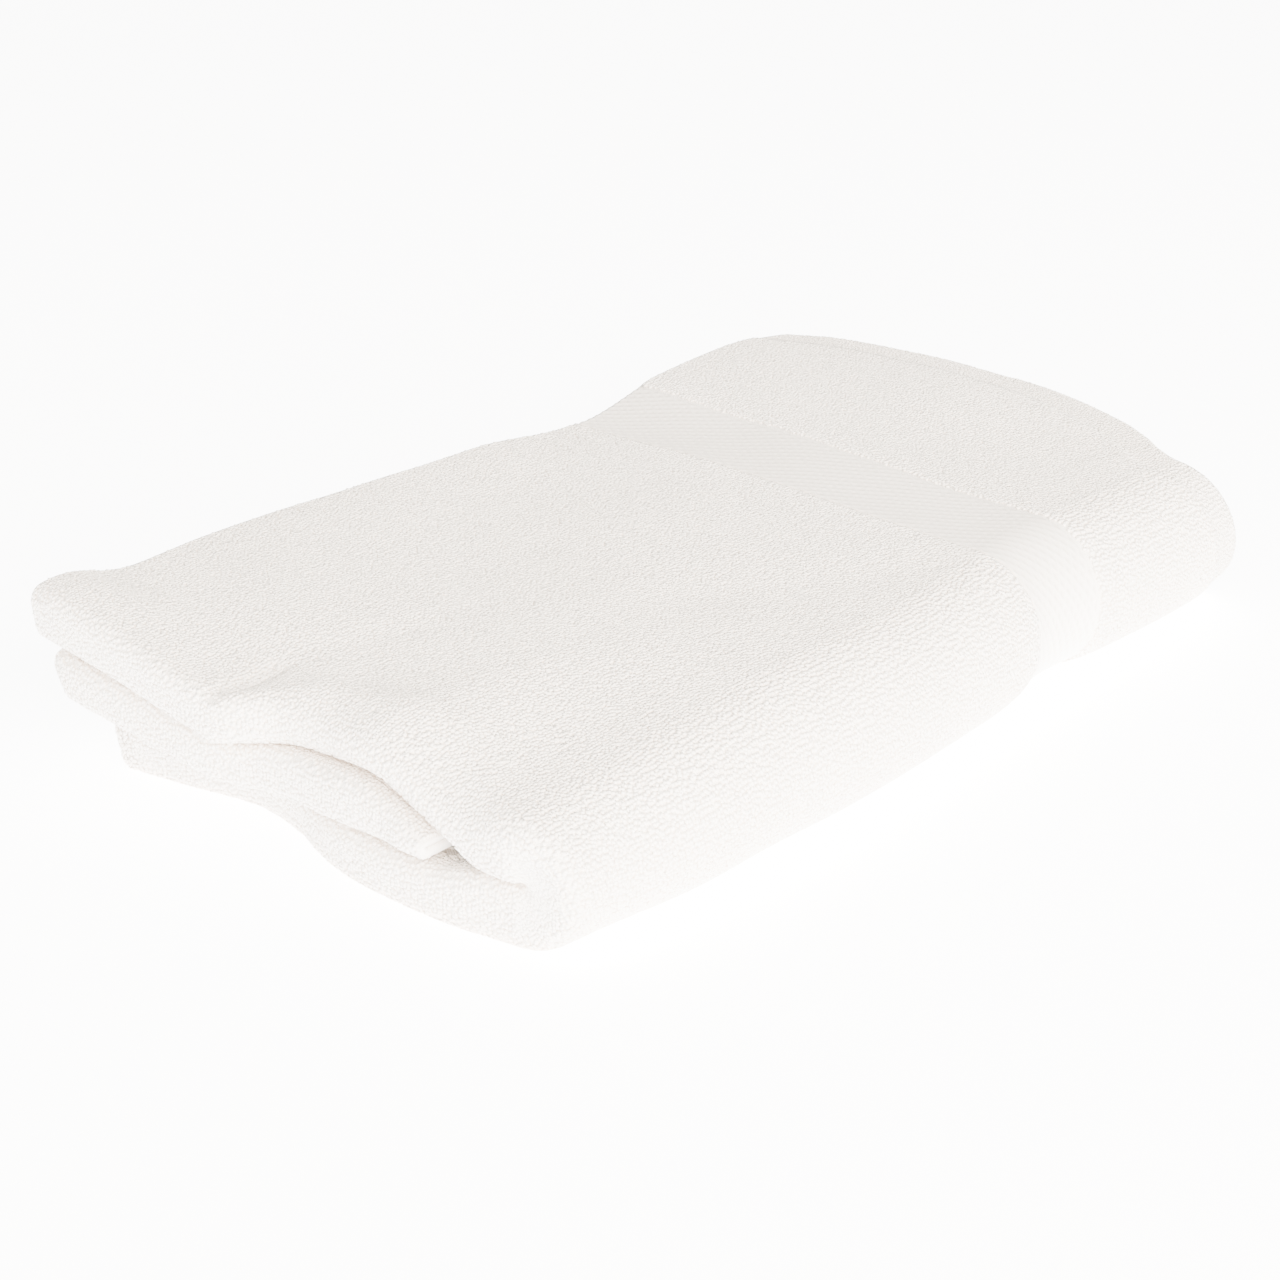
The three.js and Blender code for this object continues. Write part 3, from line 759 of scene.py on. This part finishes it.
# painted shade in the pits of the border's diamonds
PAINTED_PIT_SHADE = (0.76, 0.71, 0.66)
DIAMOND_ACROSS = 4.8
DIAMOND_ALONG = 7.2
ground_cotton = cotton("ground weave", WHITE, SHADE, broad=25, fine=900,
                       bump=0.5, depth=0.0003, sheen=0.1, threads=900)
loop_cotton = cotton("looped pile", WHITE, SHADE, broad=18, fine=1400,
                     bump=0.35, depth=0.0003, sheen=0.15)
border_cotton = cotton("border weave", WHITE, SHADE, broad=20, fine=900,
                       bump=0.5, depth=0.0002, sheen=0.1,
                       diamonds=(1000 / DIAMOND_ACROSS, 1000 / DIAMOND_ALONG))
thread_cotton = cotton("sewing thread", WHITE, SHADE, broad=40, fine=1500,
                       bump=0.3, depth=0.0002, sheen=0.1)
print("materials", [m.name for m in bpy.data.materials])

# %% [markdown]
# The ground cloth becomes a piece that rides with the solid and stands in for it. It also gets
# a map in real metres, along and across the cloth, so that woven threads follow every fold.

# %% The ground cloth as a piece
ground = new_piece("ground_cloth", ground_points, ground_quads, ground_cotton)


def runs_along(grid):
    """How far each station lies along the cloth from the outer hem, on every row."""
    steps = np.linalg.norm(np.diff(grid, axis=1), axis=2)
    return np.pad(np.cumsum(steps, axis=1), ((0, 0), (1, 0)))


runs = runs_along(middle)
longest_run = float(runs.max())


def lay_cloth_map(piece, u, v):
    """A map in metres along and across the cloth, so that threads follow it round the folds."""
    layer = piece.data.uv_layers.new(name="cloth")
    corner = np.empty(len(piece.data.loops), dtype=np.int32)
    piece.data.loops.foreach_get("vertex_index", corner)
    layer.data.foreach_set("uv", np.stack([u[corner], v[corner]], axis=1).astype(np.float32).ravel())


v_grid = np.broadcast_to(places[:, None] * MM, middle.shape[:2])
lay_cloth_map(ground, np.tile(runs.ravel(), 2), np.tile(v_grid.ravel(), 2))
print("cloth measured along its length", round(longest_run, 3), "m")

# %% [markdown]
# Terry loops stand close together on both faces. A few hundred thousand would cover the whole
# cloth, but most of them are shut in between layers, where nobody can see them. So the cloth is
# divided into small fields, and a field gets its loops only if light can reach it from at least
# one side.

# %% Which fields of the cloth can be seen
FIELD_SIZE = 6.0
SIGHT_AZIMUTHS = 12
SIGHT_HEIGHTS_DEG = (6, 28, 55)
OPEN_FROM = 4
SIGHT_REACH = 1.0
SIGHT_START = 0.5
GRAZING = 0.03

cloth_tree = BVHTree.FromPolygons(ground_points.tolist(), ground_quads.tolist())


def sight_lines():
    lines = [Vector((0, 0, 1))]
    for height in SIGHT_HEIGHTS_DEG:
        for k in range(SIGHT_AZIMUTHS):
            around = 2 * math.pi * k / SIGHT_AZIMUTHS
            flat = math.cos(math.radians(height))
            lines.append(Vector((flat * math.cos(around), flat * math.sin(around),
                                 math.sin(math.radians(height)))))
    return lines


def spread(grid, i, j):
    """Values of a grid at broken row and column numbers."""
    i0 = np.clip(i.astype(int), 0, grid.shape[0] - 2)
    j0 = np.clip(j.astype(int), 0, grid.shape[1] - 2)
    s = (i - i0)[:, None]
    t = (j - j0)[:, None]
    near = grid[i0, j0] * (1 - t) + grid[i0, j0 + 1] * t
    far = grid[i0 + 1, j0] * (1 - t) + grid[i0 + 1, j0 + 1] * t
    return near * (1 - s) + far * s


RUN_STEP = 1 * MM
row_number = np.arange(len(places))
column_number = np.arange(middle.shape[1])
even_runs = np.arange(0, longest_run, RUN_STEP)
column_by_run = np.stack([np.interp(even_runs, row, column_number) for row in runs])[..., None]


def grid_place(at, along_run):
    """Broken row and column numbers of places that are given in real distances."""
    i = np.interp(at, places, row_number)
    j = spread(column_by_run, i, along_run / RUN_STEP)[:, 0]
    return i, j


def cloth_at(at, along_run, side):
    i, j = grid_place(at, along_run)
    point = spread(middle, i, j)
    out = unit(spread(normal, i, j)) * side
    half = spread(half_grid, i, j)
    return point + out * half, out


field_at = np.arange(FIELD_SIZE / 2, UPPER_END, FIELD_SIZE)
field_run = np.arange(FIELD_SIZE / 2 * MM, longest_run, FIELD_SIZE * MM)
LINES = sight_lines()


def sight_count(side):
    """For each field, how many of the sight lines reach it."""
    at, where = np.meshgrid(field_at, field_run, indexing="ij")
    points, out = cloth_at(at.ravel(), where.ravel(), side)
    starts = points + out * SIGHT_START * MM
    count = np.zeros(len(points), int)
    for k, (start, facing) in enumerate(zip(starts, out)):
        start = Vector(start)
        facing = Vector(facing)
        for line in LINES:
            if facing.dot(line) <= GRAZING:
                continue
            if cloth_tree.ray_cast(start, line, SIGHT_REACH)[0] is None:
                count[k] += 1
                if count[k] == OPEN_FROM:
                    break
    return count.reshape(at.shape)


def widened(fields):
    """The fields and their next neighbours on four sides."""
    wide = fields.copy()
    wide[1:] |= fields[:-1]
    wide[:-1] |= fields[1:]
    wide[:, 1:] |= fields[:, :-1]
    wide[:, :-1] |= fields[:, 1:]
    return wide


sights = {side: sight_count(side) for side in (1, -1)}
open_fields = {side: widened(count >= OPEN_FROM) for side, count in sights.items()}
seen_fields = {side: count > 0 for side, count in sights.items()}
for name, fields in (("open", open_fields), ("seen", seen_fields)):
    area = sum(int(f.sum()) for f in fields.values()) * FIELD_SIZE**2 * 1e-6
    print("cloth in", name, "fields", round(area, 3), "square metres")

# %% [markdown]
# Each loop is a small leaning tuft of seven triangles, and every tuft differs a little in
# height, width and lean. They stop at the woven border. On the hem, where the cloth is turned
# over and pressed, they are half as tall. Open fields get all their loops, and fields that are
# seen from few sides get fewer and larger ones.

# %% The loops
LOOP_PITCH = 1.47
LOOP_HEIGHT = 0.7
LOOP_WIDTH = 1.2
LOOP_LEAN = 0.18
LOOP_HEIGHTS = (0.9, 1.05)
LOOP_WIDTHS = (0.85, 1.15)
NARROWEST = 0.8
JITTER = 0.34
SPARSE_SHARE = 0.5
SPARSE_SIZE = 1.3
SELVEDGE_BARE = 1.2
HEM_BARE = 1.5
HEM_LOOP_SIZE = 0.5
BORDER_SOFT = 0.5
MOST_LOOPS_A_PIECE = 20000

random = np.random.default_rng(7)


def loop_places(side):
    at, where = np.meshgrid(
        np.arange(SELVEDGE_BARE, UPPER_END - SELVEDGE_BARE, LOOP_PITCH),
        np.arange(HEM_BARE, longest_run / MM, LOOP_PITCH),
        indexing="ij",
    )
    at = at.ravel() + random.uniform(-JITTER, JITTER, at.size) * LOOP_PITCH
    where = where.ravel() + random.uniform(-JITTER, JITTER, where.size) * LOOP_PITCH
    i = np.clip((at / FIELD_SIZE).astype(int), 0, len(field_at) - 1)
    j = np.clip((where / FIELD_SIZE).astype(int), 0, len(field_run) - 1)
    close = open_fields[side][i, j]
    keep = close | (seen_fields[side][i, j] & (random.random(at.size) < SPARSE_SHARE))
    keep &= where < np.interp(at, places, runs[:, -1]) / MM - HEM_BARE
    size = np.where(close, 1, SPARSE_SIZE)
    size = np.where(where < HEM_WIDTH, HEM_LOOP_SIZE, size)
    return at[keep], where[keep] * MM, size[keep]


def in_pile(at, where):
    """Loops stop at the woven border, which lies at a fixed place along the towel."""
    i, j = grid_place(at, where)
    x = (spread(middle, i, j)[:, 0] - shift[0]) / MM
    layer = layer_of[np.clip(np.round(j).astype(int), 0, len(layer_of) - 1)]
    return (layer != 1) | (x < BORDER[0] - BORDER_SOFT) | (x > BORDER[1] + BORDER_SOFT)


# columns of a ring: height in the tuft, size, turned by
TUFT_RINGS = [
    (-0.15, 1.0, 0.0),
    (0.85, 0.9, math.pi / 3),
]
TUFT_POINTS = 6
TUFT_TRIANGLES = 7


def tufts(points, out, size):
    """Six points and seven triangles for each loop: a foot, a crown and the face on top."""
    count = len(points)
    guess = random.normal(size=(count, 3))
    side_a = unit(np.cross(out, guess))
    side_b = np.cross(out, side_a)
    height = LOOP_HEIGHT * random.uniform(*LOOP_HEIGHTS, (count, 1)) * size[:, None]
    width = LOOP_WIDTH * random.uniform(*LOOP_WIDTHS, (count, 1))
    width = width * np.maximum(size, NARROWEST)[:, None]
    lean = side_a * random.normal(0, LOOP_LEAN, (count, 1))
    lean = lean + side_b * random.normal(0, LOOP_LEAN, (count, 1))
    ring_points = []
    for level, wide, turned in TUFT_RINGS:
        for k in range(3):
            angle = turned + k * 2 * math.pi / 3
            around = side_a * math.cos(angle) + side_b * math.sin(angle)
            reach = out * height * level + lean * level**2 + around * width * wide
            ring_points.append(points + reach * MM)
    verts = np.stack(ring_points, axis=1)
    pattern = [(3, 4, 5)]
    for k in range(3):
        after = (k + 1) % 3
        pattern += [(k, after, 3 + k), (after, 3 + after, 3 + k)]
    faces = np.arange(count)[:, None, None] * TUFT_POINTS + np.array(pattern)[None]
    return verts.reshape(-1, 3), faces.reshape(-1, 3)


def all_loops():
    points, outs, sizes = [], [], []
    for side in (1, -1):
        at, where, size = loop_places(side)
        keep = in_pile(at, where)
        point, out = cloth_at(at[keep], where[keep], side)
        points.append(point)
        outs.append(out)
        sizes.append(size[keep])
    return np.concatenate(points), np.concatenate(outs), np.concatenate(sizes)


loop_points, loop_outs, loop_sizes = all_loops()
order = np.argsort(loop_points[:, 0])
batches = math.ceil(len(order) / MOST_LOOPS_A_PIECE)
pile_pieces = []
for batch, chosen in enumerate(np.array_split(order, batches)):
    verts, faces = tufts(loop_points[chosen], loop_outs[chosen], loop_sizes[chosen])
    pile_pieces.append(new_piece(f"pile_{batch + 1}", verts, faces, loop_cotton))
print("loops", len(order), "in", batches, "pieces, triangles", len(order) * TUFT_TRIANGLES)

# %% [markdown]
# The border is woven flat and lies lower than the pile. Its pattern is a lattice of fine ribs
# that cross in long diamonds, half a diamond further along in every second row. The ribs are
# under a millimetre high, so they are raised in a thin mesh of their own, with steps finer
# than a rib, over the front fold and the top. Where the band goes round the back of the under
# packet it stays bare.

# %% The woven border
RIB_HEIGHT = 0.8
RIB_SHARPNESS = 1.2
SUNK_EDGE = 1.4
SKIN_THICK = 0.5
SKIN_LIFT = 0.05
SKIN_INSET = 0.5
BORDER_STEP_X = 0.8
BORDER_STEP_AT = 1.2
BORDER_FIRST_PLACE = 396


def border_skin():
    xs = np.arange(BORDER[1] - SKIN_INSET, BORDER[0] + SKIN_INSET, -BORDER_STEP_X)
    ats = np.arange(BORDER_FIRST_PLACE, UPPER_END - SKIN_INSET, BORDER_STEP_AT)
    at, x = np.meshgrid(ats, xs, indexing="ij")
    sheet = fold_across(at, x, LAYER_PITCH + 0 * x) * MM + shift
    out = normals_of(sheet)
    steps = np.linalg.norm(np.diff(sheet[:, len(xs) // 2], axis=0), axis=1) / MM
    far = np.append(0, np.cumsum(steps))[:, None] + 0 * x
    first = np.abs(((far / DIAMOND_ALONG + x / DIAMOND_ACROSS) % 1) - 0.5) * 2
    second = np.abs(((far / DIAMOND_ALONG - x / DIAMOND_ACROSS) % 1) - 0.5) * 2
    rib = np.maximum(first, second) ** RIB_SHARPNESS
    rib = np.where(BORDER[1] - x < SUNK_EDGE, 0.0, rib)
    high = (BORDER_HALF + SKIN_LIFT + RIB_HEIGHT * rib)[..., None] * MM
    low = (BORDER_HALF + SKIN_LIFT - SKIN_THICK) * MM
    points, quads = closed_sheet(sheet + out * high, sheet + out * low)
    piece = new_piece("woven_border", points, quads, border_cotton)
    lay_cloth_map(piece, np.tile(x.ravel() * MM, 2), np.tile(far.ravel() * MM, 2))
    return piece


woven_border = border_skin()
print("border quads", len(woven_border.data.polygons))

# %% [markdown]
# The hem is turned over and sewn down with a plain lockstitch. Each stitch is a short rounded
# bar that dips into the cloth at both ends. They are joined into one mesh from arrays, laid
# along the inner side of the hem.

# %% Sewing of the hem
STITCH_LENGTH = 2.6
STITCH_GAP = 0.6
STITCH_HALF = 0.28
STITCH_FROM_EDGE = HEM_WIDTH - 1.5
ROW_MARGIN = 6
STITCH_SIDES = 6
# columns of a ring: place along the stitch, thickness, height over the cloth
STITCH_RINGS = [
    (0, 0.35, -0.25),
    (0.25, 0.95, 0.08),
    (0.5, 1, 0.12),
    (0.75, 0.95, 0.08),
    (1, 0.35, -0.25),
]
STITCH_POINTS = STITCH_SIDES * len(STITCH_RINGS)
STITCH_QUADS = STITCH_SIDES * (len(STITCH_RINGS) - 1)


def stitch_row():
    ats = np.arange(ROW_MARGIN, UPPER_END - ROW_MARGIN, STITCH_LENGTH + STITCH_GAP)
    row = np.full(len(ats), STITCH_FROM_EDGE * MM)
    rings = []
    for t, thick, sunk in STITCH_RINGS:
        at = ats + t * STITCH_LENGTH
        centre, out = cloth_at(at, row, 1)
        ahead, _ = cloth_at(at + 1, row, 1)
        run_dir = unit(ahead - centre)
        aside = np.cross(out, run_dir)
        centre = centre + out * sunk * MM
        for k in range(STITCH_SIDES):
            angle = k * 2 * math.pi / STITCH_SIDES
            around = out * math.cos(angle) + aside * math.sin(angle)
            rings.append(centre + around * STITCH_HALF * thick * MM)
    verts = np.stack(rings, axis=1)
    pattern = []
    for ring in range(len(STITCH_RINGS) - 1):
        low = ring * STITCH_SIDES
        high = low + STITCH_SIDES
        for k in range(STITCH_SIDES):
            after = (k + 1) % STITCH_SIDES
            pattern.append((low + k, low + after, high + after, high + k))
    faces = np.arange(len(ats))[:, None, None] * STITCH_POINTS + np.array(pattern)[None]
    return new_piece("hem_sewing", verts.reshape(-1, 3), faces.reshape(-1, 4), thread_cotton)


hem_sewing = stitch_row()
print("stitches", len(hem_sewing.data.polygons) // STITCH_QUADS)

# %% [markdown]
# The towel is a sheet cut to 70 by 140 cm, held folded, and the pile, the border and the
# sewing go with it. Two large softboxes with slightly warm light stand at the front and at the
# left, so that faces turned that way are clearly brighter than the top. The floor glows
# strongly, which lifts the sides and keeps the floor near white.

# %% Floor and light
FLOOR_REACH = 6.0
FLOOR_GLOW = 8.6
FLOOR_COLOR = (0.86, 0.9, 0.95)
FLOOR_ROUGHNESS = 0.9
FLOOR_SPECULAR = 0.1


def plain_floor():
    corners = np.array([(-1, -1, 0), (1, -1, 0), (1, 1, 0), (-1, 1, 0)], float) * FLOOR_REACH
    mesh = bpy.data.meshes.new("floor")
    mesh.from_pydata(corners.tolist(), [], [(0, 1, 2, 3)])
    piece = bpy.data.objects.new("floor", mesh)
    bpy.context.scene.collection.objects.link(piece)
    material = bpy.data.materials.new("pale floor")
    material.use_nodes = True
    shader = material.node_tree.nodes["Principled BSDF"]
    shader.inputs["Base Color"].default_value = (*FLOOR_COLOR, 1)
    shader.inputs["Roughness"].default_value = FLOOR_ROUGHNESS
    shader.inputs["Specular IOR Level"].default_value = FLOOR_SPECULAR
    shader.inputs["Emission Color"].default_value = (1, 1, 1, 1)
    shader.inputs["Emission Strength"].default_value = FLOOR_GLOW
    mesh.materials.append(material)
    return piece


floor = plain_floor()

# columns of a light: name, place, aim, size, power
LIGHTS = [
    ("front softbox", (-0.4, -2.35, 1.05), (0, 0, 0.03), 2.0, 375),
    ("left softbox", (-1.9, -1.5, 1.3), (0, 0, 0.03), 2.0, 215),
]
WARM = (1.0, 0.925, 0.82)
SKY = 1.6


def softbox(name, place, aim, size, power):
    lamp = bpy.data.lights.new(name, "AREA")
    lamp.color = WARM
    lamp.size = size
    lamp.energy = power
    piece = bpy.data.objects.new(name, lamp)
    piece.location = place
    piece.rotation_euler = (Vector(aim) - Vector(place)).to_track_quat("-Z", "Y").to_euler()
    bpy.context.scene.collection.objects.link(piece)


for row in LIGHTS:
    softbox(*row)

world = bpy.data.worlds.new("studio")
world.use_nodes = True
world.node_tree.nodes["Background"].inputs["Color"].default_value = (*WARM, 1)
world.node_tree.nodes["Background"].inputs["Strength"].default_value = SKY
bpy.context.scene.world = world
print("lights", [row[0] for row in LIGHTS])

# %% [markdown]
# Last, the triangles are counted, because a join of many small things grows fast.

# %% Triangles of the pieces
def triangles(piece):
    return sum(len(face.vertices) - 2 for face in piece.data.polygons)


counts = {}
for piece in [ground, woven_border, hem_sewing] + pile_pieces:
    counts[piece.name] = triangles(piece)
print("triangles", counts, "in all", sum(counts.values()))
